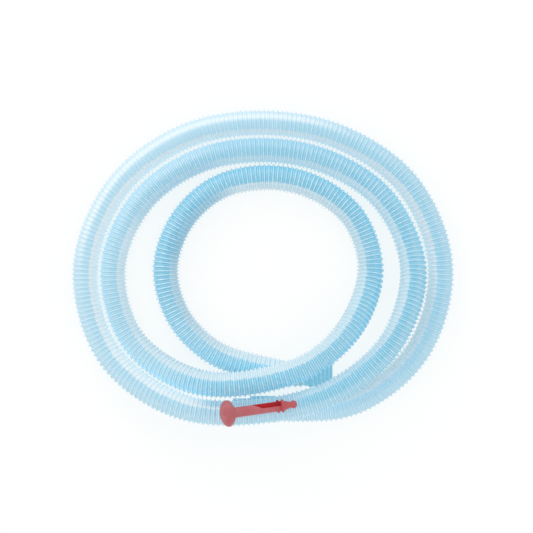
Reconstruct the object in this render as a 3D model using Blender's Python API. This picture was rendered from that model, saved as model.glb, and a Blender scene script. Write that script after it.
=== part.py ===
"""Single-limb ventilator breathing circuit, coiled flat and lying on a surface.

One corrugated hose makes three turns, from the patient end under the outermost
turn to the machine end inside the coil. Units are metres and +Z is up.
"""

import math

import bmesh
import bpy
from mathutils import Matrix, Vector

# Hose
HOSE_RADIUS = 0.01325
HOSE_POINTS_A_TURN = 25
HOSE_STRAIGHT_END = 0.0100
HOSE_BEVEL_RESOLUTION = 4
SEAT_GAP = 0.0003

# Plan of the coil: the hose's centreline, as radii at even bearings about the
# coil's middle. Bearings run counter-clockwise from +X, and each turn lies
# inside the one before it.
FIRST_BEARING = -60
BEARING_STEP = 30
TURN_RADII = (
    (0.1590, 0.1750, 0.1775, 0.1670, 0.1515, 0.1450, 0.1525, 0.1660, 0.1775, 0.1765, 0.1595, 0.1420),
    (0.1415, 0.1475, 0.1500, 0.1385, 0.1235, 0.1180, 0.1245, 0.1380, 0.1500, 0.1485, 0.1310, 0.1115),
    (0.1065, 0.1055, 0.1075, 0.1035, 0.0950, 0.0905, 0.0920, 0.0940, 0.0975, 0.0975, 0.0975),
)
PATIENT_TAIL = ((0.0180, -0.1410), (0.0290, -0.1410), (0.0400, -0.1410))
MACHINE_TAIL = (
    (-0.0090, -0.0985),
    (0.0070, -0.1020),
    (0.0190, -0.1046),
    (0.0300, -0.1058),
    (0.0355, -0.1058),
    (0.0410, -0.1058),
)

# Where the hose climbs over its own tails: bearings where each rise begins,
# is complete, starts down and is back on the surface
CROSSING_GAP = 0.0010
CROSSING_RISE = 2 * HOSE_RADIUS + CROSSING_GAP
OUTER_CROSSING = (200, 246, 331, 378)
INNER_CROSSING = (560, 611, 671, 726)

# End cuffs, the same moulding at both ends: a 22 mm conical socket
CUFF_LENGTH = 0.0280
CUFF_SOCKET_RADIUS = 0.0111
CUFF_SOCKET_TAPER = 1 / 40
CUFF_SOCKET_DEPTH = 0.0190
CUFF_BORE_RADIUS = 0.0095
CUFF_NECK_RADIUS = 0.0121
CUFF_NECK_LENGTH = 0.0045
CUFF_GRIP_RINGS = 6
CUFF_GRIP_DEPTH = 0.0006
CUFF_EDGE = 0.0005

# Patient connector: 22 mm cone outside, 15 mm socket inside
CONNECTOR_INSERTION = 0.0170
CONNECTOR_FIT = 0.0004
CONNECTOR_REACH = 0.0175
CONNECTOR_TIP_RADIUS = 0.0107
CONNECTOR_FLANGE_RADIUS = 0.01305
CONNECTOR_FLANGE_WIDTH = 0.0022
CONNECTOR_SOCKET_RADIUS = 0.0077
CONNECTOR_SOCKET_DEPTH = 0.0160
CONNECTOR_BORE_RADIUS = 0.0065
CONNECTOR_EDGE = 0.0004

# Test plug, lying along the top of the raised outer turn
PLUG_LENGTH = 0.0775
PLUG_HEAD_RADIUS = 0.01325
PLUG_HEAD_THICKNESS = 0.0156
PLUG_STEM_RADIUS = 0.0052
PLUG_STEM_END_RADIUS = 0.0050
PLUG_COLLAR_RADIUS = 0.00665
PLUG_COLLAR_WIDTH = 0.0024
PLUG_COLLAR_SPACING = 0.0046
PLUG_FIRST_COLLAR = 0.0570
PLUG_NOSE_RADIUS = 0.0041
PLUG_NOSE_RIB = 0.0734
PLUG_NOTCH_START = 0.0330
PLUG_NOTCH_FULL = 0.0425
PLUG_NOTCH_FLOOR = 0.0004
PLUG_HEAD_BEARING = 255.85
PLUG_NOSE_BEARING = 283.65
PLUG_NOSE_INWARD = 0.0016

# Facets round each turned piece
ROUND_SIDES = 32

MATERIALS = {
    "hose_plastic": ((0.33, 0.66, 0.80), 0.32),
    "cuff_rubber": ((0.42, 0.70, 0.82), 0.45),
    "connector_plastic": ((0.80, 0.88, 0.92), 0.20),
    "plug_plastic": ((0.56, 0.11, 0.13), 0.38),
}


def clear_scene():
    for thing in list(bpy.data.objects):
        bpy.data.objects.remove(thing, do_unlink=True)


def material(name):
    colour, roughness = MATERIALS[name]
    made = bpy.data.materials.new(name)
    made.use_nodes = True
    shader = made.node_tree.nodes["Principled BSDF"]
    shader.inputs["Base Color"].default_value = (*colour, 1.0)
    shader.inputs["Roughness"].default_value = roughness
    shader.inputs["Metallic"].default_value = 0.0
    return made


# Hose route

def plan_points():
    """Route points seen from above, patient end first."""
    points = [Vector(point) for point in PATIENT_TAIL]
    bearing = FIRST_BEARING
    for radii in TURN_RADII:
        for radius in radii:
            angle = math.radians(bearing)
            points.append(radius * Vector((math.cos(angle), math.sin(angle))))
            bearing += BEARING_STEP
    points.extend(Vector(point) for point in MACHINE_TAIL)
    return points


def smooth_curve(points, steps=24):
    """Points along a Catmull-Rom curve spaced by chord length."""
    padded = [2 * points[0] - points[1], *points, 2 * points[-1] - points[-2]]
    curve = []
    for before, start, end, after in zip(padded, padded[1:], padded[2:], padded[3:]):
        span = (end - start).length
        into = (start - before).length
        out = (after - end).length
        start_slope = _slope(before, start, end, into, span) * span
        end_slope = _slope(start, end, after, span, out) * span
        for step in range(steps):
            t = step / steps
            curve.append(
                start * (2 * t**3 - 3 * t**2 + 1)
                + start_slope * (t**3 - 2 * t**2 + t)
                + end * (3 * t**2 - 2 * t**3)
                + end_slope * (t**3 - t**2)
            )
    curve.append(points[-1])
    return curve


def _slope(before, here, after, into, out):
    """Slope of the parabola through three points, per unit of length."""
    return ((here - before) / into * out + (after - here) / out * into) / (into + out)


def smooth_step(value, low, high):
    share = min(max((value - low) / (high - low), 0.0), 1.0)
    return share * share * (3 - 2 * share)


def rise(bearing):
    """Height of the hose above its resting height at a running bearing."""
    total = 0.0
    for up_start, up_end, down_start, down_end in (OUTER_CROSSING, INNER_CROSSING):
        up = smooth_step(bearing, up_start, up_end)
        down = smooth_step(bearing, down_start, down_end)
        total += CROSSING_RISE * (up - down)
    return total


def running_bearings(points):
    """Bearing of each point in degrees, counted on through the turns."""
    bearings = []
    for point in points:
        bearing = math.degrees(math.atan2(point.y, point.x))
        if bearings:
            bearing += 360 * round((bearings[-1] - bearing) / 360)
        bearings.append(bearing)
    return bearings


def route():
    """Centreline of the hose with its heights, about the middle of the coil."""
    plan = smooth_curve(plan_points())
    line = []
    for point, bearing in zip(plan, running_bearings(plan)):
        line.append(Vector((point.x, point.y, HOSE_RADIUS + rise(bearing))))
    return line


def tube_points(line):
    """Points for the tube: straight ends, and between them even bearings.

    Even bearings keep the facets of neighbouring turns side by side.
    """
    lengths = [0.0]
    for start, end in zip(line, line[1:]):
        lengths.append(lengths[-1] + (end - start).length)
    bearings = running_bearings(line)
    step = 360 / HOSE_POINTS_A_TURN
    targets = [0.0, HOSE_STRAIGHT_END]
    number = math.ceil(bearings[0] / step)
    for index in range(len(line) - 1):
        while bearings[index] <= number * step < bearings[index + 1]:
            share = (number * step - bearings[index]) / (bearings[index + 1] - bearings[index])
            reach = lengths[index] + share * (lengths[index + 1] - lengths[index])
            if 2 * HOSE_STRAIGHT_END < reach < lengths[-1] - 2 * HOSE_STRAIGHT_END:
                targets.append(reach)
            number += 1
    targets.extend([lengths[-1] - HOSE_STRAIGHT_END, lengths[-1]])
    points = []
    index = 0
    for target in targets:
        while index < len(line) - 2 and lengths[index + 1] < target:
            index += 1
        share = (target - lengths[index]) / (lengths[index + 1] - lengths[index])
        points.append(line[index].lerp(line[index + 1], share))
    return points


def middle_of(line):
    """Middle of the coil's outline in plan, which becomes the origin."""
    across = [point.x for point in line]
    along = [point.y for point in line]
    return Vector(((min(across) + max(across)) / 2, (min(along) + max(along)) / 2, 0.0))


def point_at_bearing(line, bearing):
    """Point of the route at a running bearing."""
    bearings = running_bearings(line)
    for start, end, low, high in zip(line, line[1:], bearings, bearings[1:]):
        if low <= bearing < high:
            return start.lerp(end, (bearing - low) / (high - low))
    return line[-1]


def build_hose(points):
    curve = bpy.data.curves.new("breathing_hose", "CURVE")
    curve.dimensions = "3D"
    curve.twist_mode = "Z_UP"
    curve.bevel_depth = HOSE_RADIUS
    curve.bevel_resolution = HOSE_BEVEL_RESOLUTION
    curve.use_fill_caps = True
    spline = curve.splines.new("POLY")
    spline.points.add(len(points) - 1)
    for knot, point in zip(spline.points, points):
        knot.co = point.to_4d()
    curve.materials.append(material("hose_plastic"))
    hose = bpy.data.objects.new("breathing_hose", curve)
    bpy.context.collection.objects.link(hose)
    return hose


# Turned pieces

def turned_piece(name, outline, closed, material_name):
    """Solid made by turning an outline of (along, radius) points about +X.

    A closed outline makes a ring with a hole through it, and an open one runs
    from pole to pole.
    """
    mesh = bpy.data.meshes.new(name)
    shape = bmesh.new()
    rings = []
    for along, radius in outline:
        if radius == 0.0:
            rings.append([shape.verts.new((along, 0.0, 0.0))])
            continue
        ring = []
        for side in range(ROUND_SIDES):
            angle = 2 * math.pi * side / ROUND_SIDES
            ring.append(shape.verts.new((along, radius * math.cos(angle), radius * math.sin(angle))))
        rings.append(ring)
    pairs = list(zip(rings, rings[1:]))
    if closed:
        pairs.append((rings[-1], rings[0]))
    for first, second in pairs:
        _join_rings(shape, first, second)
    bmesh.ops.recalc_face_normals(shape, faces=shape.faces)
    shape.to_mesh(mesh)
    shape.free()
    mesh.shade_smooth()
    mesh.set_sharp_from_angle(angle=math.radians(35))
    mesh.materials.append(material(material_name))
    piece = bpy.data.objects.new(name, mesh)
    bpy.context.collection.objects.link(piece)
    return piece


def _join_rings(shape, first, second):
    for side in range(ROUND_SIDES):
        following = (side + 1) % ROUND_SIDES
        if len(first) == 1:
            shape.faces.new((first[0], second[side], second[following]))
        elif len(second) == 1:
            shape.faces.new((first[side], second[0], first[following]))
        else:
            shape.faces.new((first[side], second[side], second[following], first[following]))


def cuff_outline():
    """Cuff from its hose face, at zero, to its mouth."""
    socket_floor = CUFF_LENGTH - CUFF_SOCKET_DEPTH
    floor_radius = CUFF_SOCKET_RADIUS - CUFF_SOCKET_DEPTH * CUFF_SOCKET_TAPER / 2
    outline = [
        (0.0, CUFF_BORE_RADIUS),
        (0.0, CUFF_NECK_RADIUS),
        (CUFF_NECK_LENGTH, CUFF_NECK_RADIUS),
    ]
    ring_pitch = (CUFF_LENGTH - CUFF_NECK_LENGTH) / CUFF_GRIP_RINGS
    for ring in range(CUFF_GRIP_RINGS):
        start = CUFF_NECK_LENGTH + ring * ring_pitch
        end = start + ring_pitch
        if ring:
            start += ring_pitch / 4
            outline.append((start, HOSE_RADIUS - CUFF_GRIP_DEPTH))
        outline.append((start, HOSE_RADIUS - CUFF_EDGE))
        outline.append((start + CUFF_EDGE, HOSE_RADIUS))
        outline.append((end - CUFF_EDGE, HOSE_RADIUS))
        outline.append((end, HOSE_RADIUS - CUFF_EDGE))
        if ring < CUFF_GRIP_RINGS - 1:
            outline.append((end, HOSE_RADIUS - CUFF_GRIP_DEPTH))
    outline.extend([
        (CUFF_LENGTH, CUFF_SOCKET_RADIUS + CUFF_EDGE),
        (CUFF_LENGTH - CUFF_EDGE, CUFF_SOCKET_RADIUS),
        (socket_floor, floor_radius),
        (socket_floor, CUFF_BORE_RADIUS),
    ])
    return outline


def connector_outline():
    """Patient connector from its end inside the cuff to its free end."""
    plug_in = CONNECTOR_INSERTION
    flange_end = plug_in + SEAT_GAP + CONNECTOR_FLANGE_WIDTH
    tip = flange_end + CONNECTOR_REACH
    inner_end = CUFF_SOCKET_RADIUS - CONNECTOR_INSERTION * CUFF_SOCKET_TAPER / 2 - CONNECTOR_FIT
    root = CUFF_SOCKET_RADIUS - CONNECTOR_FIT
    socket_floor = tip - CONNECTOR_SOCKET_DEPTH
    floor_radius = CONNECTOR_SOCKET_RADIUS - CONNECTOR_SOCKET_DEPTH * CUFF_SOCKET_TAPER / 2
    return [
        (0.0, CONNECTOR_BORE_RADIUS),
        (0.0, inner_end - CONNECTOR_EDGE),
        (CONNECTOR_EDGE, inner_end),
        (plug_in + SEAT_GAP, root),
        (plug_in + SEAT_GAP, CONNECTOR_FLANGE_RADIUS - CONNECTOR_EDGE),
        (plug_in + SEAT_GAP + CONNECTOR_EDGE, CONNECTOR_FLANGE_RADIUS),
        (flange_end - CONNECTOR_EDGE, CONNECTOR_FLANGE_RADIUS),
        (flange_end, CONNECTOR_FLANGE_RADIUS - CONNECTOR_EDGE),
        (flange_end, CONNECTOR_TIP_RADIUS + CONNECTOR_REACH * CUFF_SOCKET_TAPER / 2),
        (tip - CONNECTOR_EDGE, CONNECTOR_TIP_RADIUS),
        (tip, CONNECTOR_TIP_RADIUS - CONNECTOR_EDGE),
        (tip, CONNECTOR_SOCKET_RADIUS + CONNECTOR_EDGE),
        (tip - CONNECTOR_EDGE, CONNECTOR_SOCKET_RADIUS),
        (socket_floor, floor_radius),
        (socket_floor, CONNECTOR_BORE_RADIUS),
    ]


def plug_outline():
    """Plug from the crown of its head, at zero, to the tip of its nose."""
    half = PLUG_HEAD_THICKNESS / 2
    outline = [(0.0, 0.0)]
    steps = 16
    for step in range(1, steps):
        angle = math.pi * step / steps
        radius = PLUG_HEAD_RADIUS * math.sin(angle)
        if step > steps / 2 and radius < PLUG_STEM_RADIUS:
            break
        outline.append((half * (1 - math.cos(angle)), radius))
    outline.append((PLUG_HEAD_THICKNESS, PLUG_STEM_RADIUS))
    for number in range(2):
        start = PLUG_FIRST_COLLAR + number * PLUG_COLLAR_SPACING
        end = start + PLUG_COLLAR_WIDTH
        lip = PLUG_COLLAR_WIDTH / 4
        outline.extend([
            (start - lip, PLUG_STEM_END_RADIUS),
            (start, PLUG_COLLAR_RADIUS - lip),
            (start + lip, PLUG_COLLAR_RADIUS),
            (end - lip, PLUG_COLLAR_RADIUS),
            (end, PLUG_COLLAR_RADIUS - lip),
            (end + lip, PLUG_STEM_END_RADIUS),
        ])
    valley = 0.9 * PLUG_NOSE_RADIUS
    rib = PLUG_COLLAR_WIDTH / 2
    outline.extend([
        (PLUG_NOSE_RIB - 2.0 * rib, valley),
        (PLUG_NOSE_RIB - rib / 2, PLUG_NOSE_RADIUS),
        (PLUG_NOSE_RIB + rib / 2, PLUG_NOSE_RADIUS),
    ])
    tip_start = PLUG_NOSE_RIB + rib
    tip_length = PLUG_LENGTH - tip_start
    for step in range(4):
        angle = math.pi / 2 * step / 4
        outline.append((tip_start + tip_length * math.sin(angle), valley * math.cos(angle)))
    outline.append((PLUG_LENGTH, 0.0))
    return outline


def cut_notch(plug):
    """Cut the notch that thins the stem on one side, up to the second collar."""
    notch_end = PLUG_FIRST_COLLAR + PLUG_COLLAR_SPACING - PLUG_COLLAR_WIDTH / 8
    clear = PLUG_HEAD_RADIUS
    corners = (
        (PLUG_NOTCH_START, clear),
        (PLUG_NOTCH_START, PLUG_STEM_RADIUS),
        (PLUG_NOTCH_FULL, PLUG_NOTCH_FLOOR),
        (notch_end, PLUG_NOTCH_FLOOR),
        (notch_end, clear),
    )
    mesh = bpy.data.meshes.new("notch_cutter")
    shape = bmesh.new()
    base = shape.faces.new([shape.verts.new((along, across, PLUG_NOTCH_FLOOR)) for along, across in corners])
    grown = bmesh.ops.extrude_face_region(shape, geom=[base])
    top = [item for item in grown["geom"] if isinstance(item, bmesh.types.BMVert)]
    bmesh.ops.translate(shape, verts=top, vec=(0.0, 0.0, clear))
    bmesh.ops.recalc_face_normals(shape, faces=shape.faces)
    shape.to_mesh(mesh)
    shape.free()
    cutter = bpy.data.objects.new("notch_cutter", mesh)
    cutter.hide_render = True
    cutter.display_type = "WIRE"
    cutter.parent = plug
    bpy.context.collection.objects.link(cutter)
    cut = plug.modifiers.new("notch", "BOOLEAN")
    cut.operation = "DIFFERENCE"
    cut.object = cutter


def place_end_pieces(patient_end, machine_end):
    """Seat the cuffs on the hose's ends, facing away from it along X."""
    facing_back = Matrix.Rotation(math.pi, 4, "Z")
    patient_face = patient_end - Vector((SEAT_GAP, 0.0, 0.0))
    patient_cuff = turned_piece("patient_cuff", cuff_outline(), True, "cuff_rubber")
    patient_cuff.matrix_world = Matrix.Translation(patient_face) @ facing_back

    connector = turned_piece("patient_connector", connector_outline(), True, "connector_plastic")
    inner_end = patient_face - Vector((CUFF_LENGTH - CONNECTOR_INSERTION, 0.0, 0.0))
    connector.matrix_world = Matrix.Translation(inner_end) @ facing_back

    machine_cuff = turned_piece("machine_cuff", cuff_outline(), True, "cuff_rubber")
    machine_cuff.location = machine_end + Vector((SEAT_GAP, 0.0, 0.0))


def place_plug(line):
    """Lay the plug along the crown of the raised outer turn.

    Its head's rim and its first collar both touch the crown, so it slopes
    down from head to nose by the difference of the two radii.
    """
    crown = Vector((0.0, 0.0, HOSE_RADIUS + SEAT_GAP))
    head = point_at_bearing(line, PLUG_HEAD_BEARING) + crown
    nose = point_at_bearing(line, PLUG_NOSE_BEARING) + crown
    nose.xy -= PLUG_NOSE_INWARD * nose.xy.normalized()
    along = (nose - head).normalized()
    heading = math.atan2(along.y, along.x)
    span = PLUG_FIRST_COLLAR + PLUG_COLLAR_SPACING + PLUG_COLLAR_WIDTH / 2 - PLUG_HEAD_THICKNESS / 2
    slope = math.asin((PLUG_HEAD_RADIUS - PLUG_COLLAR_RADIUS) / span)
    turn = Matrix.Rotation(heading, 4, "Z") @ Matrix.Rotation(slope, 4, "Y")
    rim = turn @ Vector((PLUG_HEAD_THICKNESS / 2, 0.0, -PLUG_HEAD_RADIUS))
    plug = turned_piece("test_plug", plug_outline(), False, "plug_plastic")
    plug.matrix_world = Matrix.Translation(head - rim) @ turn
    cut_notch(plug)


def build():
    clear_scene()
    line = route()
    origin = middle_of(line)
    points = [point - origin for point in tube_points(line)]
    hose = build_hose(points)
    place_end_pieces(points[0], points[-1])
    place_plug(line)
    bpy.context.view_layer.update()
    plug = bpy.data.objects["test_plug"]
    plug.location -= origin
    return hose


build()
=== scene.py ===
"""Looks of the coiled breathing circuit: ribbed hose, end fittings and test plug.

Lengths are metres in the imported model's frame, whose origin is the middle of
the coil on the surface that it lies on. A bearing is in degrees from +X,
counter-clockwise about the middle of the turns, and runs on from turn to turn.
"""

import math

import bmesh
import bpy
from mathutils import Matrix, Vector
from mathutils.bvhtree import BVHTree


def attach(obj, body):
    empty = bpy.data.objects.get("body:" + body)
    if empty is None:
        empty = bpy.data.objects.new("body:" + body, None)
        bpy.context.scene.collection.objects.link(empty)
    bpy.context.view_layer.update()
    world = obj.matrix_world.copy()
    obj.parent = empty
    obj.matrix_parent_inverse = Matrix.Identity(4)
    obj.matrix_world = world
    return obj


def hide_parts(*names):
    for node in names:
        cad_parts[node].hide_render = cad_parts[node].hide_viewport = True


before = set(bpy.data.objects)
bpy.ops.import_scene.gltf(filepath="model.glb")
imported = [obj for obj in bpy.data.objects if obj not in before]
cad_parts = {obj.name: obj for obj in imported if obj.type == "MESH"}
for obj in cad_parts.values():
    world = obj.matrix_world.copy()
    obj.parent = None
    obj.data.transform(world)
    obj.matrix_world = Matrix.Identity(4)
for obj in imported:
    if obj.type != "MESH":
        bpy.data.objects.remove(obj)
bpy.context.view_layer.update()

# Hose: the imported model's crests, the ribs that show, and the bore
CREST_RADIUS = 0.01325
VALLEY_RADIUS = 0.01175
RIB_TIP_RADIUS = 0.01350
BORE_RADIUS = 0.01080
BORE_DEPTH = 0.060
PLAIN_END = 0.0012

# Sides and steps of what is swept along the hose
HOSE_BEVEL_RESOLUTION = 12
HOSE_SIDES = 4 + 2 * HOSE_BEVEL_RESOLUTION
BORE_BEVEL_RESOLUTION = 10
BORE_STEP = 0.006
PATH_STEP = 0.012

# Light that turns and plug shut out: rays from each point, and what the floor takes from the low ones
LOOKS = 64
LOOK_START = 0.0008
LOOK_REACH = 0.080
LOOK_STEP = 0.006
FLOOR_SHADE = 0.15

# Pitch of the ribs as seen from above, closer in the inner turn: (bearing, pitch)
RIB_PITCHES = (
    (-60, 0.00455),
    (-30, 0.00465),
    (0, 0.00455),
    (20, 0.00450),
    (46, 0.00470),
    (80, 0.00440),
    (180, 0.00440),
    (214, 0.00470),
    (290, 0.00485),
    (322, 0.00470),
    (350, 0.00434),
    (370, 0.00432),
    (400, 0.00445),
    (435, 0.00432),
    (490, 0.00446),
    (540, 0.00422),
    (590, 0.00436),
    (620, 0.00475),
    (640, 0.00460),
    (670, 0.00460),
    (705, 0.00418),
    (735, 0.00407),
    (790, 0.00430),
    (826, 0.00430),
    (862, 0.00412),
    (920, 0.00414),
    (970, 0.00443),
    (1000, 0.00480),
)

# Length either side of a point over which the hose's slope is taken
SLOPE_SPAN = 0.006

# One rib from valley to valley: (share of the pitch, share of the height)
RIB_PROFILE = ((0.00, 0.00), (0.26, 0.12), (0.42, 1.00), (0.58, 1.00), (0.74, 0.12))

# Gap between pieces that seat or rest on one another
SEAT_GAP = 0.0003

# End cuffs, the same moulding at both ends: a 22 mm conical socket
CUFF_LENGTH = 0.0280
CUFF_SOCKET_RADIUS = 0.0111
CUFF_SOCKET_TAPER = 1 / 40
CUFF_SOCKET_DEPTH = 0.0190
CUFF_BORE_RADIUS = 0.0095
CUFF_NECK_RADIUS = 0.0121
CUFF_NECK_LENGTH = 0.0045
CUFF_GRIP_RINGS = 6
CUFF_GRIP_DEPTH = 0.0006
CUFF_GROOVE_SHARE = 1 / 4
CUFF_EDGE = 0.00022

# Patient connector: 22 mm cone outside, 15 mm socket inside
CONNECTOR_INSERTION = 0.0170
CONNECTOR_FIT = 0.0004
CONNECTOR_REACH = 0.0175
CONNECTOR_TIP_RADIUS = 0.0107
CONNECTOR_FLANGE_RADIUS = 0.01305
CONNECTOR_FLANGE_WIDTH = 0.0022
CONNECTOR_SOCKET_RADIUS = 0.0077
CONNECTOR_SOCKET_DEPTH = 0.0160
CONNECTOR_BORE_RADIUS = 0.0065
CONNECTOR_EDGE = 0.00025

# Test plug, lying along the top of the raised outer turn
PLUG_LENGTH = 0.0775
PLUG_HEAD_RADIUS = 0.01325
PLUG_HEAD_THICKNESS = 0.0156
PLUG_STEM_RADIUS = 0.0052
PLUG_STEM_END_RADIUS = 0.0050
PLUG_COLLAR_RADIUS = 0.00665
PLUG_COLLAR_WIDTH = 0.0024
PLUG_COLLAR_SPACING = 0.0046
PLUG_FIRST_COLLAR = 0.0570
PLUG_COLLARS = 2
PLUG_EDGE = 0.00018
PLUG_HEAD_STEPS = 40
PLUG_TIP_STEPS = 8

# Plug's nose up to where its round tip starts: (along, radius)
PLUG_NOSE = ((0.0650, 0.0047), (0.0700, 0.0032), (0.0710, 0.0031), (0.0722, 0.0036), (0.0738, 0.0040))

# Notch in the plug's stem: where it starts, where it is full, and how far from the axis it stops
PLUG_NOTCH_START = 0.0330
PLUG_NOTCH_FULL = 0.0425
PLUG_NOTCH_FLOOR = 0.0004

# Bearings of the hose under the plug's head and nose, and the nose's shift towards the middle
PLUG_HEAD_BEARING = 255.85
PLUG_NOSE_BEARING = 283.65
PLUG_NOSE_INWARD = 0.0016

# Turned pieces: facets round them, edges that get rounded, and edges that stay sharp
ROUND_SIDES = 96
SOFT_ANGLE = math.radians(35)
SOFT_SEGMENTS = 3
SHARP_ANGLE = math.radians(40)
SAME_PLACE = 1e-6

# Route of the hose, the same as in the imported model
CURVE_STEPS = 24
FIRST_BEARING = -60
BEARING_STEP = 30
TURN_RADII = (
    (0.1590, 0.1750, 0.1775, 0.1670, 0.1515, 0.1450, 0.1525, 0.1660, 0.1775, 0.1765, 0.1595, 0.1420),
    (0.1415, 0.1475, 0.1500, 0.1385, 0.1235, 0.1180, 0.1245, 0.1380, 0.1500, 0.1485, 0.1310, 0.1115),
    (0.1065, 0.1055, 0.1075, 0.1035, 0.0950, 0.0905, 0.0920, 0.0940, 0.0975, 0.0975, 0.0975),
)
PATIENT_TAIL = ((0.0180, -0.1410), (0.0290, -0.1410), (0.0400, -0.1410))
MACHINE_TAIL = (
    (-0.0090, -0.0985),
    (0.0070, -0.1020),
    (0.0190, -0.1046),
    (0.0300, -0.1058),
    (0.0355, -0.1058),
    (0.0410, -0.1058),
)

# Crossings: bearings where the climb starts and ends, and where the descent starts and ends
CROSSING_GAP = 0.0010
CROSSING_RISE = 2 * CREST_RADIUS + CROSSING_GAP
OUTER_CROSSING = (200, 246, 331, 378)
INNER_CROSSING = (560, 611, 671, 726)

# Detail of every noise pattern in the finishes
NOISE_DETAIL = 3.0

# Camera: a long lens looking straight down, one millimetre to a pixel, turns centred on one
PHOTO_SIDE = 533
CENTRE_PIXEL = (263.0, 268.0)
PIXEL = 0.001
CAMERA_DISTANCE = 5.0
CAMERA_REACH = 20.0
SENSOR = 36.0

# Floor: its reach each way, its colour, and the share of its brightness that no shadow takes
FLOOR_REACH = 4.0
FLOOR_COLOUR = (0.92, 0.93, 0.94)
FLOOR_GLOW = (0.77, 0.85, 0.88)

# Key light
KEY_PLACE = (-0.8, 1.5, 0.75)
KEY_SIZE = 0.9
KEY_POWER = 5.0


# Route

def plan_points():
    """Points of the route in plan: the patient's tail, the three turns and the machine's tail."""
    points = [Vector(point) for point in PATIENT_TAIL]
    bearing = FIRST_BEARING
    for radii in TURN_RADII:
        for radius in radii:
            angle = math.radians(bearing)
            points.append(radius * Vector((math.cos(angle), math.sin(angle))))
            bearing += BEARING_STEP
    points.extend(Vector(point) for point in MACHINE_TAIL)
    return points


def parabola_slope(before, here, after, into, out):
    """Slope at the middle one of three points, which lie the lengths into and out apart."""
    return ((here - before) / into * out + (after - here) / out * into) / (into + out)


def smooth_curve(points):
    """Points along a Catmull-Rom curve spaced by chord length."""
    padded = [2 * points[0] - points[1], *points, 2 * points[-1] - points[-2]]
    curve = []
    for before, start, end, after in zip(padded, padded[1:], padded[2:], padded[3:]):
        span = (end - start).length
        start_slope = parabola_slope(before, start, end, (start - before).length, span) * span
        end_slope = parabola_slope(start, end, after, span, (after - end).length) * span
        for step in range(CURVE_STEPS):
            t = step / CURVE_STEPS
            curve.append(
                start * (2 * t**3 - 3 * t**2 + 1)
                + start_slope * (t**3 - 2 * t**2 + t)
                + end * (3 * t**2 - 2 * t**3)
                + end_slope * (t**3 - t**2)
            )
    curve.append(points[-1])
    return curve


def smooth_step(value, low, high):
    """Rise smoothly from 0 at low to 1 at high."""
    share = min(max((value - low) / (high - low), 0.0), 1.0)
    return share * share * (3 - 2 * share)


def rise(bearing):
    """Height of the hose over the surface, which it leaves to cross itself twice."""
    total = 0.0
    for up_start, up_end, down_start, down_end in (OUTER_CROSSING, INNER_CROSSING):
        up = smooth_step(bearing, up_start, up_end)
        down = smooth_step(bearing, down_start, down_end)
        total += CROSSING_RISE * (up - down)
    return total


def running_bearings(points):
    """Bearing of each point in degrees, counted on from turn to turn."""
    bearings = []
    for point in points:
        bearing = math.degrees(math.atan2(point.y, point.x))
        if bearings:
            bearing += 360 * round((bearings[-1] - bearing) / 360)
        bearings.append(bearing)
    return bearings


class Route:
    """The hose's centreline, with the middle of its outline in plan at the origin."""

    def __init__(self):
        plan = smooth_curve(plan_points())
        self.bearings = running_bearings(plan)
        line = [
            Vector((point.x, point.y, CREST_RADIUS + rise(bearing)))
            for point, bearing in zip(plan, self.bearings)
        ]
        across = [point.x for point in line]
        along = [point.y for point in line]
        self.middle = Vector(((min(across) + max(across)) / 2, (min(along) + max(along)) / 2, 0.0))
        self.line = [point - self.middle for point in line]
        self.reach = [0.0]
        for start, end in zip(self.line, self.line[1:]):
            self.reach.append(self.reach[-1] + (end - start).length)
        self.length = self.reach[-1]

    def at(self, distances):
        """Points at rising distances along the centreline, each with its bearing."""
        index = 0
        found = []
        for distance in distances:
            while index < len(self.line) - 2 and self.reach[index + 1] < distance:
                index += 1
            share = (distance - self.reach[index]) / (self.reach[index + 1] - self.reach[index])
            point = self.line[index].lerp(self.line[index + 1], share)
            bearing = self.bearings[index] + share * (self.bearings[index + 1] - self.bearings[index])
            found.append((point, bearing))
        return found

    def at_bearing(self, bearing):
        """Point of the centreline at a running bearing."""
        for index in range(len(self.line) - 1):
            low, high = self.bearings[index], self.bearings[index + 1]
            if low <= bearing < high:
                return self.line[index].lerp(self.line[index + 1], (bearing - low) / (high - low))
        return self.line[-1]


route = Route()


def even_steps(start, end, step):
    """Evenly spaced distances from start to end, about a step apart."""
    count = round(abs(end - start) / step)
    return [start + (end - start) * number / count for number in range(count + 1)]


# Meshes and objects

def add_object(name, data):
    made = bpy.data.objects.new(name, data)
    bpy.context.collection.objects.link(made)
    return made


def finished_mesh(name, shape):
    """Mesh of a bmesh, which is freed."""
    mesh = bpy.data.meshes.new(name)
    shape.to_mesh(mesh)
    shape.free()
    return mesh


def smooth_piece(name, shape):
    """Object of a bmesh with smooth shading."""
    for face in shape.faces:
        face.smooth = True
    return add_object(name, finished_mesh(name, shape))


def evaluated_mesh(piece):
    """New mesh of an object as its curve or its modifiers make it."""
    bpy.context.view_layer.update()
    return bpy.data.meshes.new_from_object(piece.evaluated_get(bpy.context.evaluated_depsgraph_get()))


def tube_mesh(stations, resolution):
    """Open tube swept by a bevelled curve; each station is (point, radius)."""
    curve = bpy.data.curves.new("sweep", "CURVE")
    curve.dimensions = "3D"
    curve.twist_mode = "Z_UP"
    curve.bevel_depth = 1.0
    curve.bevel_resolution = resolution
    spline = curve.splines.new("POLY")
    spline.points.add(len(stations) - 1)
    for knot, (point, radius) in zip(spline.points, stations):
        knot.co = (*point, 1.0)
        knot.radius = radius
    carrier = add_object("sweep", curve)
    mesh = evaluated_mesh(carrier)
    bpy.data.objects.remove(carrier)
    return mesh


# Light that turns and plug shut out

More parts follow.
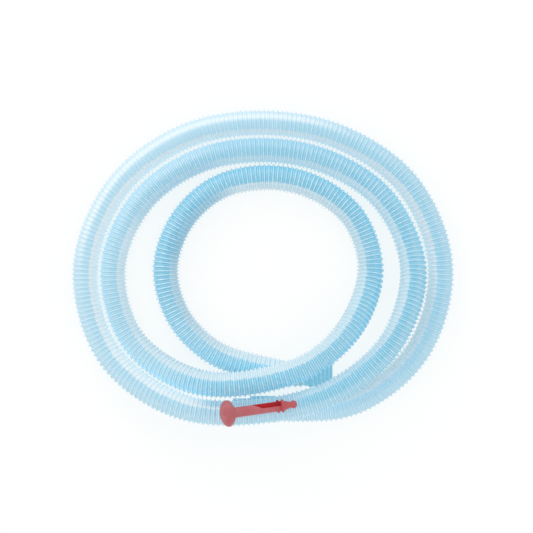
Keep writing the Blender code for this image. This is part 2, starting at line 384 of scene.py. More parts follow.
class Surroundings:
    """Rays that find how much of its light a point of the coil loses to the turns and the plug."""

    def __init__(self, piece):
        self.distances = even_steps(0.0, route.length, LOOK_STEP)
        self.centres = [place[0] for place in route.at(self.distances)]
        crests = [(centre, CREST_RADIUS) for centre in self.centres]
        self.rings = tube_mesh(crests, HOSE_BEVEL_RESOLUTION)
        corners = []
        faces = []
        for mesh in (self.rings, piece.data):
            first = len(corners)
            faces.extend(tuple(first + corner for corner in polygon.vertices) for polygon in mesh.polygons)
            corners.extend(vertex.co.copy() for vertex in mesh.vertices)
        self.tree = BVHTree.FromPolygons(corners, faces)
        golden = math.pi * (3 - math.sqrt(5))
        self.looks = []
        for number in range(LOOKS):
            share = (number + 0.5) / LOOKS
            out = math.sqrt(share)
            look = (out * math.cos(golden * number), out * math.sin(golden * number), math.sqrt(1 - share))
            self.looks.append(Vector(look))

    def shut(self, point, normal):
        """Share of light lost at a point that faces along normal."""
        turn = normal.to_track_quat("Z", "Y")
        start = point + normal * LOOK_START
        lost = 0.0
        for look in self.looks:
            direction = turn @ look
            if self.tree.ray_cast(start, direction, LOOK_REACH)[0] is not None:
                lost += 1.0
            elif direction.z < 0.0:
                lost += FLOOR_SHADE
        return lost / LOOKS

    def along_hose(self, distances):
        """Share of light lost on every side of the rings at rising distances."""
        coarse = []
        for ring, centre in enumerate(self.centres):
            points = [self.rings.vertices[ring * HOSE_SIDES + side].co for side in range(HOSE_SIDES)]
            coarse.append([self.shut(point, (point - centre).normalized()) for point in points])
        found = []
        index = 0
        for distance in distances:
            while index < len(coarse) - 2 and self.distances[index + 1] < distance:
                index += 1
            start, end = self.distances[index : index + 2]
            share = (distance - start) / (end - start)
            pairs = zip(coarse[index], coarse[index + 1])
            found.append([low + (high - low) * share for low, high in pairs])
        return found

    def mark(self, mesh):
        """Store the share of light lost on each point of a mesh."""
        values = [self.shut(vertex.co, vertex.normal) for vertex in mesh.vertices]
        mesh.attributes.new("shut", "FLOAT", "POINT").data.foreach_set("value", values)


# Hose

def seen_pitch(bearing):
    """Pitch of the ribs as seen from above at a running bearing."""
    for (low, first), (high, second) in zip(RIB_PITCHES, RIB_PITCHES[1:]):
        if bearing < high:
            return first + (second - first) * max(bearing - low, 0) / (high - low)
    return RIB_PITCHES[-1][1]


def rib_pitch(distance):
    """Pitch along the hose that gives the pitch seen from above.

    From above, rib tops close up where the hose climbs or starts to climb,
    and spread where it levels out.
    """
    places = route.at([distance - SLOPE_SPAN, distance, distance + SLOPE_SPAN])
    before, here, after = (point for point, bearing in places)
    into = (here - before).normalized()
    out = (after - here).normalized()
    level = (after - before).normalized().xy.length
    bend = (math.asin(out.z) - math.asin(into.z)) / SLOPE_SPAN
    return seen_pitch(places[1][1]) / (level * (1 - RIB_TIP_RADIUS * bend))


def rib_stations():
    """Distance along the hose and share of the rib height at every ring."""
    starts = [PLAIN_END]
    while starts[-1] < route.length - PLAIN_END:
        starts.append(starts[-1] + rib_pitch(starts[-1]))
    fit = (route.length - 2 * PLAIN_END) / (starts[-1] - PLAIN_END)
    starts = [PLAIN_END + (start - PLAIN_END) * fit for start in starts]
    stations = [(0.0, 0.0)]
    for start, end in zip(starts, starts[1:]):
        stations.extend((start + share * (end - start), height) for share, height in RIB_PROFILE)
    stations.append((starts[-1], 0.0))
    stations.append((route.length, 0.0))
    return stations


def mark_hose(mesh, stations, places, surroundings):
    """Store on each point its rib height, valley line, side of the bend, turn and lost light."""
    marks = {"rib": [], "groove": [], "inward": [], "turn": [], "shut": []}
    total = route.bearings[-1] - route.bearings[0]
    lost = surroundings.along_hose([distance for distance, height in stations])
    for number, vertex in enumerate(mesh.vertices):
        ring, side = divmod(number, HOSE_SIDES)
        height = stations[ring][1]
        centre, bearing = places[ring]
        before = places[max(ring - 1, 0)][0]
        after = places[min(ring + 1, len(places) - 1)][0]
        towards_middle = Vector((0.0, 0.0, 1.0)).cross((after - before).normalized()).normalized()
        marks["rib"].append(height)
        marks["groove"].append(1.0 if height == 0.0 else 0.0)
        marks["inward"].append((vertex.co - centre).dot(towards_middle) / CREST_RADIUS)
        marks["turn"].append((bearing - route.bearings[0]) / total)
        marks["shut"].append(lost[ring][side])
    for name, values in marks.items():
        mesh.attributes.new(name, "FLOAT", "POINT").data.foreach_set("value", values)


def open_rims(shape, centre):
    """Open edges of a tube near one of its ends."""
    return [
        edge
        for edge in shape.edges
        if edge.is_boundary and (edge.verts[0].co - centre).length < 2 * BORE_RADIUS
    ]


def bore_lining(mouth, far):
    """Mesh of the bore from its mouth to its closed far end, facing inwards."""
    places = route.at(sorted(even_steps(mouth, far, BORE_STEP)))
    rings = [(point, BORE_RADIUS) for point, bearing in places]
    pocket = bmesh.new()
    pocket.from_mesh(tube_mesh(rings, BORE_BEVEL_RESOLUTION))
    bmesh.ops.holes_fill(pocket, edges=open_rims(pocket, route.at([far])[0][0]))
    bmesh.ops.recalc_face_normals(pocket, faces=pocket.faces)
    bmesh.ops.reverse_faces(pocket, faces=pocket.faces)
    return finished_mesh("bore", pocket)


def make_hose(surroundings):
    """The ribbed hose with its two open ends."""
    stations = rib_stations()
    places = route.at([distance for distance, height in stations])
    swept = [
        (point, VALLEY_RADIUS + height * (RIB_TIP_RADIUS - VALLEY_RADIUS))
        for (point, bearing), (distance, height) in zip(places, stations)
    ]
    outside = tube_mesh(swept, HOSE_BEVEL_RESOLUTION)
    mark_hose(outside, stations, places, surroundings)
    wall = bmesh.new()
    wall.from_mesh(outside)
    for mouth, far in ((0.0, BORE_DEPTH), (route.length, route.length - BORE_DEPTH)):
        wall.from_mesh(bore_lining(mouth, far))
    for end in (places[0][0], places[-1][0]):
        bmesh.ops.bridge_loops(wall, edges=open_rims(wall, end))
    return smooth_piece("ribbed_hose", wall)


# Turned pieces

def turned(outline, closed):
    """Bmesh of an outline of (along, radius) points spun about +X."""
    shape = bmesh.new()
    points = [shape.verts.new((along, radius, 0.0)) for along, radius in outline]
    edges = [shape.edges.new(pair) for pair in zip(points, points[1:])]
    if closed:
        edges.append(shape.edges.new((points[-1], points[0])))
    bmesh.ops.spin(
        shape,
        geom=[*points, *edges],
        cent=(0.0, 0.0, 0.0),
        axis=(1.0, 0.0, 0.0),
        angle=2 * math.pi,
        steps=ROUND_SIDES,
        use_merge=True,
    )
    bmesh.ops.remove_doubles(shape, verts=shape.verts, dist=SAME_PLACE)
    bmesh.ops.recalc_face_normals(shape, faces=shape.faces)
    return shape


def soften(shape, width):
    """Round the edges that run round a turned piece."""
    rims = []
    for edge in shape.edges:
        start, end = (corner.co.x for corner in edge.verts)
        if abs(start - end) < SAME_PLACE and edge.calc_face_angle(0.0) > SOFT_ANGLE:
            rims.append(edge)
    bmesh.ops.bevel(
        shape,
        geom=rims,
        offset=width,
        segments=SOFT_SEGMENTS,
        profile=0.5,
        affect="EDGES",
        material=-1,
    )


def placed(name, shape, matrix):
    """Object with its place in its mesh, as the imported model's nodes have."""
    shape.transform(matrix)
    return smooth_piece(name, shape)


def cuff_outline():
    """Cuff from its hose face, at zero, to its mouth."""
    socket_floor = CUFF_LENGTH - CUFF_SOCKET_DEPTH
    floor_radius = CUFF_SOCKET_RADIUS - CUFF_SOCKET_DEPTH * CUFF_SOCKET_TAPER / 2
    outline = [(0.0, CUFF_BORE_RADIUS), (0.0, CUFF_NECK_RADIUS), (CUFF_NECK_LENGTH, CUFF_NECK_RADIUS)]
    pitch = (CUFF_LENGTH - CUFF_NECK_LENGTH) / CUFF_GRIP_RINGS
    for ring in range(CUFF_GRIP_RINGS):
        start = CUFF_NECK_LENGTH + ring * pitch
        end = start + pitch
        if ring:
            start += pitch * CUFF_GROOVE_SHARE
            outline.append((start, CREST_RADIUS - CUFF_GRIP_DEPTH))
        outline.extend([(start, CREST_RADIUS), (end, CREST_RADIUS)])
        if ring < CUFF_GRIP_RINGS - 1:
            outline.append((end, CREST_RADIUS - CUFF_GRIP_DEPTH))
    outline.extend([
        (CUFF_LENGTH, CUFF_SOCKET_RADIUS + CUFF_GRIP_DEPTH),
        (CUFF_LENGTH - CUFF_GRIP_DEPTH, CUFF_SOCKET_RADIUS),
        (socket_floor, floor_radius),
        (socket_floor, CUFF_BORE_RADIUS),
    ])
    return outline


def connector_outline():
    """Patient connector from its end inside the cuff to its free end."""
    shoulder = CONNECTOR_INSERTION + SEAT_GAP
    flange_end = shoulder + CONNECTOR_FLANGE_WIDTH
    tip = flange_end + CONNECTOR_REACH
    root = CUFF_SOCKET_RADIUS - CONNECTOR_FIT
    socket_floor = tip - CONNECTOR_SOCKET_DEPTH
    floor_radius = CONNECTOR_SOCKET_RADIUS - CONNECTOR_SOCKET_DEPTH * CUFF_SOCKET_TAPER / 2
    return [
        (0.0, CONNECTOR_BORE_RADIUS),
        (0.0, root - CONNECTOR_INSERTION * CUFF_SOCKET_TAPER / 2),
        (shoulder, root),
        (shoulder, CONNECTOR_FLANGE_RADIUS),
        (flange_end, CONNECTOR_FLANGE_RADIUS),
        (flange_end, CONNECTOR_TIP_RADIUS + CONNECTOR_REACH * CUFF_SOCKET_TAPER / 2),
        (tip, CONNECTOR_TIP_RADIUS),
        (tip, CONNECTOR_SOCKET_RADIUS),
        (socket_floor, floor_radius),
        (socket_floor, CONNECTOR_BORE_RADIUS),
    ]


def plug_outline():
    """Plug from the crown of its head, at zero, to the tip of its nose."""
    half = PLUG_HEAD_THICKNESS / 2
    outline = [(0.0, 0.0)]
    for step in range(1, PLUG_HEAD_STEPS):
        angle = math.pi * step / PLUG_HEAD_STEPS
        radius = PLUG_HEAD_RADIUS * math.sin(angle)
        if step > PLUG_HEAD_STEPS / 2 and radius < PLUG_STEM_RADIUS:
            break
        outline.append((half * (1 - math.cos(angle)), radius))
    outline.append((PLUG_HEAD_THICKNESS, PLUG_STEM_RADIUS))
    lip = PLUG_COLLAR_WIDTH / 4
    for number in range(PLUG_COLLARS):
        start = PLUG_FIRST_COLLAR + number * PLUG_COLLAR_SPACING
        end = start + PLUG_COLLAR_WIDTH
        outline.extend([
            (start - lip, PLUG_STEM_END_RADIUS),
            (start + lip, PLUG_COLLAR_RADIUS),
            (end - lip, PLUG_COLLAR_RADIUS),
            (end + lip, PLUG_STEM_END_RADIUS),
        ])
    outline.extend(PLUG_NOSE)
    tip_start, tip_radius = PLUG_NOSE[-1]
    tip_length = PLUG_LENGTH - tip_start
    for step in range(1, PLUG_TIP_STEPS):
        angle = math.pi / 2 * step / PLUG_TIP_STEPS
        outline.append((tip_start + tip_length * math.sin(angle), tip_radius * math.cos(angle)))
    outline.append((PLUG_LENGTH, 0.0))
    return outline


def notch_cutter():
    """Block that thins the plug's stem on one side, up to the second collar."""
    notch_end = PLUG_FIRST_COLLAR + PLUG_COLLAR_SPACING - PLUG_COLLAR_WIDTH / 8
    clear = PLUG_HEAD_RADIUS
    shape = bmesh.new()
    corners = (
        (PLUG_NOTCH_START, clear),
        (PLUG_NOTCH_START, PLUG_STEM_RADIUS),
        (PLUG_NOTCH_FULL, PLUG_NOTCH_FLOOR),
        (notch_end, PLUG_NOTCH_FLOOR),
        (notch_end, clear),
    )
    base = shape.faces.new(
        [shape.verts.new((along, across, PLUG_NOTCH_FLOOR)) for along, across in corners]
    )
    grown = bmesh.ops.extrude_face_region(shape, geom=[base])
    lid = [item for item in grown["geom"] if isinstance(item, bmesh.types.BMVert)]
    bmesh.ops.translate(shape, verts=lid, vec=(0.0, 0.0, clear))
    bmesh.ops.recalc_face_normals(shape, faces=shape.faces)
    return shape


def plug_place():
    """Where the plug lies: its head's rim and its second collar on the hose's crown."""
    crown = Vector((0.0, 0.0, RIB_TIP_RADIUS + SEAT_GAP))
    head = route.at_bearing(PLUG_HEAD_BEARING) + crown
    nose = route.at_bearing(PLUG_NOSE_BEARING) + crown
    nose.xy -= PLUG_NOSE_INWARD * (nose + route.middle).xy.normalized()
    along = (nose - head).normalized()
    heading = math.atan2(along.y, along.x)
    span = PLUG_FIRST_COLLAR + PLUG_COLLAR_SPACING + PLUG_COLLAR_WIDTH / 2 - PLUG_HEAD_THICKNESS / 2
    slope = math.asin((PLUG_HEAD_RADIUS - PLUG_COLLAR_RADIUS) / span)
    turn = Matrix.Rotation(heading, 4, "Z") @ Matrix.Rotation(slope, 4, "Y")
    rim = turn @ Vector((PLUG_HEAD_THICKNESS / 2, 0.0, -PLUG_HEAD_RADIUS))
    return Matrix.Translation(head - rim) @ turn


def mark_notch(mesh, place):
    """Store on each face whether it is one that the notch leaves: its floor or its wall."""
    back = place.inverted()
    cut = []
    for polygon in mesh.polygons:
        middle = back @ polygon.center
        facing = back.to_3x3() @ polygon.normal
        along = PLUG_NOTCH_START < middle.x < PLUG_FIRST_COLLAR + PLUG_COLLAR_SPACING
        floor = facing.z > 0.9 and abs(middle.z - PLUG_NOTCH_FLOOR) < 10 * SAME_PLACE
        wall = facing.y > 0.7 and abs(facing.z) < 0.1 and middle.z > PLUG_NOTCH_FLOOR
        cut.append(1.0 if along and (floor or wall) else 0.0)
    mesh.attributes.new("notch", "FLOAT", "FACE").data.foreach_set("value", cut)


def make_plug():
    """The test plug with its notch cut."""
    place = plug_place()
    shape = turned(plug_outline(), False)
    soften(shape, PLUG_EDGE)
    plug = placed("notched_plug", shape, place)
    cutter = placed("notch_block", notch_cutter(), place)
    cut = plug.modifiers.new("notch", "BOOLEAN")
    cut.object = cutter
    mesh = evaluated_mesh(plug)
    plug.modifiers.clear()
    plug.data = mesh
    bpy.data.objects.remove(cutter)
    mesh.name = "notched_plug"
    mesh.set_sharp_from_angle(angle=SHARP_ANGLE)
    mark_notch(mesh, place)
    return plug


def mark_grooves(mesh, place):
    """Store on each point of a cuff whether it lies in a groove between its grip rings."""
    back = place.inverted()
    groove = []
    for vertex in mesh.vertices:
        local = back @ vertex.co
        radius = math.hypot(local.y, local.z)
        sunk = (CREST_RADIUS - radius) / CUFF_GRIP_DEPTH
        groove.append(1.0 if 0.5 < sunk < 1.2 and local.x > CUFF_NECK_LENGTH else 0.0)
    mesh.attributes.new("groove", "FLOAT", "POINT").data.foreach_set("value", groove)


def make_cuff(name, place):
    shape = turned(cuff_outline(), True)
    soften(shape, CUFF_EDGE)
    cuff = placed(name, shape, place)
    mark_grooves(cuff.data, place)
    return cuff


def make_connector(place):
    shape = turned(connector_outline(), True)
    soften(shape, CONNECTOR_EDGE)
    return placed("connector_moulding", shape, place)


def make_end_pieces():
    """The two cuffs and the patient connector, seated on the hose's ends."""
    facing_back = Matrix.Rotation(math.pi, 4, "Z")
    patient_face = route.line[0] - Vector((SEAT_GAP, 0.0, 0.0))
    machine_face = route.line[-1] + Vector((SEAT_GAP, 0.0, 0.0))
    inner_end = patient_face - Vector((CUFF_LENGTH - CONNECTOR_INSERTION, 0.0, 0.0))
    return (
        make_cuff("patient_cuff_moulding", Matrix.Translation(patient_face) @ facing_back),
        make_cuff("machine_cuff_moulding", Matrix.Translation(machine_face)),
        make_connector(Matrix.Translation(inner_end) @ facing_back),
    )


# Shader building

class Value:
    """A shader socket that takes part in arithmetic by adding Math nodes."""

    def __init__(self, finish, socket):
        self.finish = finish
        self.socket = socket

    def _math(self, operation, first, second=0.0):
        return self.finish.value("ShaderNodeMath", {"operation": operation}, {0: first, 1: second})

    def __add__(self, other):
        return self._math("ADD", self, other)

    def __radd__(self, other):
        return self._math("ADD", other, self)

    def __sub__(self, other):
        return self._math("SUBTRACT", self, other)

    def __rsub__(self, other):
        return self._math("SUBTRACT", other, self)

    def __mul__(self, other):
        return self._math("MULTIPLY", self, other)

    def __rmul__(self, other):
        return self._math("MULTIPLY", other, self)

    def clamped(self):
        return self.finish.value("ShaderNodeClamp", {}, {"Value": self})

    def smooth(self, low, high):
        """Rise smoothly from 0 at low to 1 at high."""
        settings = {"interpolation_type": "SMOOTHSTEP"}
        inputs = {"Value": self, "From Min": low, "From Max": high}
        return self.finish.value("ShaderNodeMapRange", settings, inputs)

    def within(self, start, full, fade, end):
        """Rise from start to full, and fall again from fade to end."""
        return self.smooth(start, full) * (1 - self.smooth(fade, end))


class Finish:
    """One Principled material and the nodes that feed it."""

    def __init__(self, name, **constants):
        self.material = bpy.data.materials.new(name)
        self.material.use_nodes = True
        self.tree = self.material.node_tree
        self.shader = self.tree.nodes["Principled BSDF"]
        for socket, constant in constants.items():
            self.shader.inputs[socket.replace("_", " ")].default_value = constant

    def node(self, kind, settings, inputs):
        """New node with its settings, and its inputs linked or set."""
        made = self.tree.nodes.new(kind)
        for setting, choice in settings.items():
            setattr(made, setting, choice)
        for socket, given in inputs.items():
            if isinstance(given, Value):
                self.tree.links.new(given.socket, made.inputs[socket])
            else:
                made.inputs[socket].default_value = given
        return made

    def value(self, kind, settings, inputs, output=0):
        return Value(self, self.node(kind, settings, inputs).outputs[output])

    def attribute(self, name):
        return self.value("ShaderNodeAttribute", {"attribute_name": name}, {}, "Fac")

    def position(self):
        return self.value("ShaderNodeTexCoord", {}, {}, "Object")

    def parts(self, vector):
        """The three numbers of a vector."""
        made = self.node("ShaderNodeSeparateXYZ", {}, {0: vector})
        return [Value(self, socket) for socket in made.outputs]

    def noise(self, scale):
        inputs = {"Vector": self.position(), "Scale": scale, "Detail": NOISE_DETAIL}
        return self.value("ShaderNodeTexNoise", {}, inputs, "Fac")

    def mix(self, factor, first, second):
        made = self.node("ShaderNodeMix", {"data_type": "RGBA"}, {0: factor, 6: first, 7: second})
        return Value(self, made.outputs[2])

    def feed(self, socket, value):
        self.tree.links.new(value.socket, self.shader.inputs[socket])

    def glow(self, share, colour):
        """Painted glow: emission of a colour, from none at 0, that stands in for light through the plastic.
        """
        self.feed("Emission Color", self.mix(share, BLACK, colour))

    def bump(self, height, strength, distance):
        inputs = {"Strength": strength, "Distance": distance, "Height": height}
        self.feed("Normal", self.value("ShaderNodeBump", {}, inputs))


def srgb(red, green, blue):
    """Linear colour, with alpha, from 0 to 255 display values."""

    def linear(level):
        share = level / 255
        return share / 12.92 if share <= 0.04045 else ((share + 0.055) / 1.055) ** 2.4

    return (linear(red), linear(green), linear(blue), 1.0)


BLACK = srgb(0, 0, 0)


class HosePlace:
    """Where a point of the hose lies: its marks, and masks from 0 to 1 for sides and stretches."""

    def __init__(self, finish):
        across, up = finish.parts(finish.position())[:2]
        self.top = up.smooth(0.06, 0.15)
        self.low = (0 - up).smooth(0.03, 0.10)
        self.left = (0 - across).smooth(0.02, 0.09)
        self.right = across.smooth(0.02, 0.12)
        # Painted light from the upper left: the first mask places a painted highlight, the second makes the
        # film paler there.
        self.lit_side = (up - across * 0.5).smooth(0.075, 0.14)
        self.painted_bright_side = (0.58 - across * 1.7 + up * 0.9).clamped()

        self.turn = finish.attribute("turn")
        self.first_turn = 1 - self.turn.smooth(0.20, 0.45)
        self.outer_turn = 1 - self.turn.smooth(0.20, 0.80)
        self.middle_turn = self.turn.within(0.28, 0.40, 0.56, 0.70)
        self.inner_turn = self.turn.smooth(0.50, 0.72)
        self.first_stretch = 1 - self.turn.smooth(0.03, 0.12)
        self.last_stretch = self.turn.within(0.90, 0.93, 0.97, 0.985)
        self.upper_right = self.turn.within(0.07, 0.09, 0.115, 0.13)
        middle_left = self.turn.within(0.499, 0.518, 0.543, 0.558)
        inner_left = self.turn.within(0.829, 0.85, 0.885, 0.905)
        self.upper_left = middle_left * 0.8 + inner_left
        self.raised = self.turn.within(0.30, 0.34, 0.36, 0.39)
        self.second_raised = self.turn.within(0.60, 0.625, 0.655, 0.68)
        self.over_connector = self.turn.within(0.296, 0.306, 0.326, 0.344)

        self.shut = finish.attribute("shut")
        self.inward = finish.attribute("inward")
        self.inner_half = self.inward.smooth(-0.40, 0.00)
        self.grain = finish.noise(330.0)
        # Painted pale zone on the inside of each bend, standing in for light through the wall, with a ragged
        # edge.
        edge = self.inward + (self.grain - 0.5) * 0.34 - self.top * 0.20 - self.raised * 0.20
        self.painted_pale_zone = (edge - self.turn.smooth(0.32, 0.38) * 0.03).smooth(0.20, 0.35)


def deep_film(finish, at):
    """Film outside the painted pale zone: deep blue, paler on the upper left as painted light and with tone
    set stretch by stretch, with a painted highlight on its shoulder.
    """
    # Share towards the paler film: painted light from the upper left, and tone set stretch by stretch.
    painted_light_and_tone = at.outer_turn * at.painted_bright_side
    painted_light_and_tone = painted_light_and_tone + at.left * (at.middle_turn * 0.25 + at.low * (1 - at.first_turn) * 0.25)
    painted_light_and_tone = painted_light_and_tone - at.middle_turn * (at.top * 0.22 + at.right * 0.20)
    painted_light_and_tone = painted_light_and_tone - at.raised * at.inner_half * 0.30
    painted_light_and_tone = painted_light_and_tone + at.first_stretch * 0.25 + at.last_stretch * 0.20
    film = finish.mix(painted_light_and_tone.clamped(), srgb(128, 202, 229), srgb(189, 227, 243))
    # Painted highlight on the outer shoulder, strongest on the upper left of the first turn.
    outward = 0 - at.inward
    shoulder = outward.smooth(0.10, 0.50) * (0.06 + at.outer_turn * 0.10 + at.first_turn * at.lit_side * 0.60)
    shoulder = shoulder * (1 - outward.smooth(0.50, 0.85) * 0.7)
    film = finish.mix(shoulder, film, srgb(242, 250, 254))
    film = finish.mix(at.second_raised * 0.45, film, srgb(106, 206, 240))
    # Painted paler grey where the turns shut light out, on the left of the inner turn.
    painted_crevice_grey = at.shut.smooth(0.60, 0.90) * at.inner_turn * at.left
    return finish.mix(painted_crevice_grey * 0.30, film, srgb(180, 212, 222))


def painted_pale_film(finish, at):
    """Painted pale film on the inside of the bends, standing in for light through the wall, paler on the
    upper left as painted light, duller at the top and inner left.
    """
    film = finish.mix(at.turn.smooth(0.30, 0.45), srgb(204, 223, 233), srgb(181, 220, 236))
    film = finish.mix((at.painted_bright_side + at.left * at.low * 0.3).clamped(), film, srgb(224, 240, 247))
    dull = at.top * (0.22 + at.middle_turn * 0.50) + at.left * at.inner_turn * 0.65 + at.raised * 0.55
    return finish.mix(dull, film, srgb(158, 205, 226))


def painted_rib_highlights(finish, at):
    """Share of the painted highlight line on each crest and of the fainter one in each valley."""
    crest = 0.20 + at.turn * 0.36 + at.low * (0.04 - at.inner_turn * 0.14)
    crest = crest - at.top * (0.05 + at.inner_turn * 0.15)
    crest = crest + at.middle_turn * (at.upper_left * 0.20 - at.left * 0.10)
    crest = crest - at.first_turn * at.left * 0.09 + at.second_raised * 0.13
    valley = 0.15 + at.turn * 0.12 + at.low * (0.14 + at.inner_turn * 0.12)
    valley = valley + at.left * at.middle_turn * 0.26 + at.top * 0.07
    valley = valley + at.upper_right * 0.14 + at.first_stretch * 0.06
    painted_crest_highlight = finish.attribute("rib").smooth(0.70, 1.0) * crest
    painted_valley_highlight = finish.attribute("groove").smooth(0.45, 1.0) * valley
    uneven = 0.55 + at.grain.smooth(0.32, 0.68) * 0.90
    return (painted_crest_highlight + painted_valley_highlight) * (1 - at.painted_pale_zone * (0.6 - at.low * 0.4)) * uneven


def painted_glow_colour(finish, at):
    """Colour of the painted glow that stands in for light through the film: grey, and blue in the inner turn
    and right of the middle one.
    """
    blue = (at.inner_turn + at.right * at.middle_turn * 0.6).clamped()
    dim = finish.mix(at.shut.smooth(0.45, 0.85), srgb(84, 184, 212), srgb(130, 174, 172))
    grey = finish.mix(at.painted_pale_zone, srgb(200, 211, 217), srgb(194, 200, 192))
    return finish.mix(blue * (1 - at.painted_pale_zone * 0.5), grey, dim)


def hose_finish():
    """Thin blue film on a ribbed hose, with a painted glow where turns lie side by side that stands in for
    light through the film.
    """
    finish = Finish("hose_plastic", Coat_Weight=0.40, Coat_Roughness=0.20, Emission_Strength=1.0)
    at = HosePlace(finish)
    film = finish.mix(at.painted_pale_zone, deep_film(finish, at), painted_pale_film(finish, at))
    film = finish.mix(at.upper_left * at.inner_half * 0.5, film, srgb(108, 188, 220))
    backed = at.over_connector * at.inward.smooth(0.30, 0.55)
    film = finish.mix(backed * 0.85, film, srgb(128, 192, 218))
    # Painted highlight lines on the ribs, near white.
    colour = finish.mix(painted_rib_highlights(finish, at), film, srgb(246, 252, 255))
    cloud = finish.noise(34.0)
    colour = finish.mix(cloud.smooth(0.48, 0.78) * 0.12, colour, srgb(228, 241, 248))
    finish.feed("Base Color", colour)
    # Painted glow where the turns shut light out.
    finish.glow(at.shut * 0.40, painted_glow_colour(finish, at))
    finish.feed("Roughness", 0.29 + finish.noise(240.0) * 0.12)
    finish.bump(finish.noise(1300.0), 0.15, 0.0001)
    return finish.material


def cuff_finish():
    """Soft translucent moulding: matt, a little cloudy, pale in the grooves between its grip rings, with a
    painted glow where the turns shut light out.
    """
    finish = Finish("cuff_rubber", Emission_Strength=1.0)
    cloud = finish.noise(60.0)
    colour = finish.mix(cloud.smooth(0.35, 0.75) * 0.35, srgb(144, 209, 230), srgb(182, 226, 240))
    colour = finish.mix(finish.attribute("groove") * 0.6, colour, srgb(236, 247, 251))
    finish.feed("Base Color", colour)
    # Painted glow where the turns shut light out, standing in for light through the moulding.
    finish.glow(finish.attribute("shut") * 0.32, srgb(140, 193, 205))
    finish.feed("Roughness", 0.42 + finish.noise(300.0) * 0.14)
    finish.bump(finish.noise(900.0), 0.25, 0.0002)
    return finish.material


def connector_finish():
    """Clear-blue hard plastic with a faint moulding flow, and a painted glow where the turns shut light out.
    """
    finish = Finish("connector_plastic", Emission_Strength=1.0)
    flow = finish.noise(90.0)
    colour = finish.mix(flow.smooth(0.35, 0.75) * 0.4, srgb(146, 203, 225), srgb(180, 220, 236))
    finish.feed("Base Color", colour)
    # Painted glow where the turns shut light out, standing in for light through the plastic.
    finish.glow(finish.attribute("shut") * 0.32, srgb(140, 188, 202))
    finish.feed("Roughness", 0.16 + flow * 0.08)
    finish.bump(flow, 0.15, 0.0003)
    return finish.material


def plug_finish():
    """Red plastic, pale pink under a painted haze of light and redder at its tip, deep red in the thin notch
    with painted shade towards the collar and a painted glow, with small scuffs.
    """
    finish = Finish("plug_plastic", Specular_IOR_Level=0.3, Emission_Strength=1.0)
    tone = finish.noise(120.0)
    grain = finish.noise(700.0)
    notch = finish.attribute("notch")
    across = finish.parts(finish.position())[0]
    # Pale pink body: a painted haze of light over the red, redder towards the tip.
    body = finish.mix(tone.smooth(0.30, 0.75), srgb(178, 93, 99), srgb(186, 108, 112))
    body = finish.mix(across.smooth(0.008, 0.018) * 0.6, body, srgb(184, 64, 74))
    body = finish.mix(across.smooth(0.020, 0.030) * 0.5, body, srgb(188, 96, 103))
    # Deep red in the notch, darker towards the collar as painted shade.
    cut = finish.mix(across.smooth(0.002, 0.018), srgb(168, 8, 28), srgb(146, 6, 16))
    finish.feed("Base Color", finish.mix(notch, body, cut))
    # Painted glow in the notch, standing in for light through the thin plastic.
    finish.glow(notch * 0.10, srgb(200, 10, 28))
    finish.feed("Roughness", 0.36 + grain * 0.16)
    finish.bump(grain, 0.2, 0.0002)
    return finish.material


def dress(piece, material):
    piece.data.materials.clear()
    piece.data.materials.append(material)


# Floor, lights and camera

def floor_material():
    """White floor. The camera sees it as white, with a light shadow tinted blue by its own colours, a painted
    tint that stands in for light through the film.
    """
    made = bpy.data.materials.new("floor")
    made.use_nodes = True
    tree = made.node_tree
    tree.nodes.clear()

    def node(kind, **inputs):
        new = tree.nodes.new(kind)
        for socket, given in inputs.items():
            new.inputs[socket].default_value = given
        return new

    lit = node("ShaderNodeBsdfDiffuse", Color=(*FLOOR_COLOUR, 1.0))
    # Glow and shaded diffuse share each channel, so that the shadow shows a painted blue tint.
    glow = node("ShaderNodeEmission", Color=(*FLOOR_GLOW, 1.0))
    shaded = node("ShaderNodeBsdfDiffuse", Color=(*(1 - share for share in FLOOR_GLOW), 1.0))
    seen = node("ShaderNodeAddShader")
    tree.links.new(glow.outputs[0], seen.inputs[0])
    tree.links.new(shaded.outputs[0], seen.inputs[1])
    path = node("ShaderNodeLightPath")
    either = path.outputs["Is Camera Ray"]
    for other in ("Is Glossy Ray", "Is Transmission Ray"):
        larger = node("ShaderNodeMath")
        larger.operation = "MAXIMUM"
        tree.links.new(either, larger.inputs[0])
        tree.links.new(path.outputs[other], larger.inputs[1])
        either = larger.outputs[0]
    mix = node("ShaderNodeMixShader")
    out = node("ShaderNodeOutputMaterial")
    tree.links.new(either, mix.inputs[0])
    tree.links.new(lit.outputs[0], mix.inputs[1])
    tree.links.new(seen.outputs[0], mix.inputs[2])
    tree.links.new(mix.outputs[0], out.inputs["Surface"])
    return made


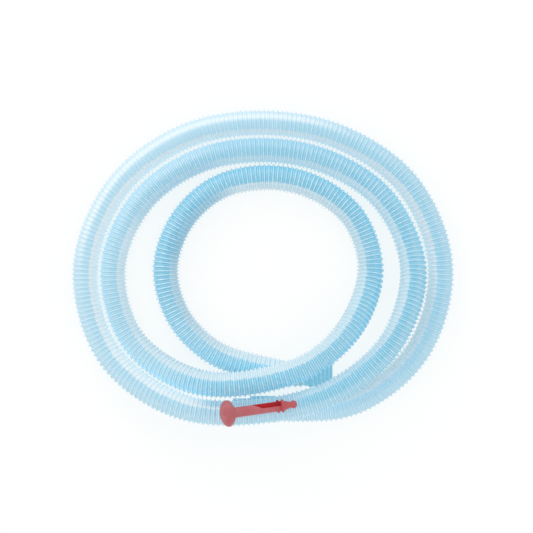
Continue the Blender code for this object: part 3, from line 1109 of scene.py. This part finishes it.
def make_floor():
    shape = bmesh.new()
    bmesh.ops.create_grid(shape, x_segments=1, y_segments=1, size=FLOOR_REACH)
    floor = add_object("floor", finished_mesh("floor", shape))
    dress(floor, floor_material())


def make_light():
    """Even white light from all round, and one softbox."""
    world = bpy.data.worlds.new("studio")
    world.use_nodes = True
    background = world.node_tree.nodes["Background"]
    background.inputs["Color"].default_value = (1.0, 1.0, 1.0, 1.0)
    background.inputs["Strength"].default_value = 1.0
    bpy.context.scene.world = world
    light = bpy.data.lights.new("key_softbox", "AREA")
    light.shape = "SQUARE"
    light.size = KEY_SIZE
    light.energy = KEY_POWER
    holder = add_object("key_softbox", light)
    holder.location = KEY_PLACE
    holder.rotation_euler = Vector(KEY_PLACE).to_track_quat("Z", "Y").to_euler()


def make_camera():
    camera = bpy.data.cameras.new("camera")
    camera.sensor_width = SENSOR
    camera.lens = SENSOR * CAMERA_DISTANCE / (PHOTO_SIDE * PIXEL)
    camera.clip_end = CAMERA_REACH
    right = (PHOTO_SIDE / 2 - CENTRE_PIXEL[0]) * PIXEL - route.middle.x
    up = (CENTRE_PIXEL[1] - PHOTO_SIDE / 2) * PIXEL - route.middle.y
    holder = add_object("camera", camera)
    holder.location = (right, up, CREST_RADIUS + CAMERA_DISTANCE)
    bpy.context.scene.camera = holder


bpy.context.scene.view_settings.view_transform = "Standard"
make_floor()
make_light()
make_camera()

plug = make_plug()
dress(plug, plug_finish())
surroundings = Surroundings(plug)
hose = make_hose(surroundings)
dress(hose, hose_finish())
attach(hose, "root")
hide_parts("breathing_hose")

patient_cuff, machine_cuff, connector = make_end_pieces()
cuff_rubber = cuff_finish()
for piece in (patient_cuff, machine_cuff, connector):
    surroundings.mark(piece.data)
dress(patient_cuff, cuff_rubber)
dress(machine_cuff, cuff_rubber)
dress(connector, connector_finish())
for piece, node, slot in (
    (patient_cuff, "patient_cuff", "cuff_rubber"),
    (machine_cuff, "machine_cuff", "cuff_rubber"),
    (connector, "patient_connector", "connector_plastic"),
    (plug, "test_plug", "plug_plastic"),
):
    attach(piece, "root")
    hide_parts(node)

centreline = [point for point, bearing in route.at(even_steps(0.0, route.length, PATH_STEP))]
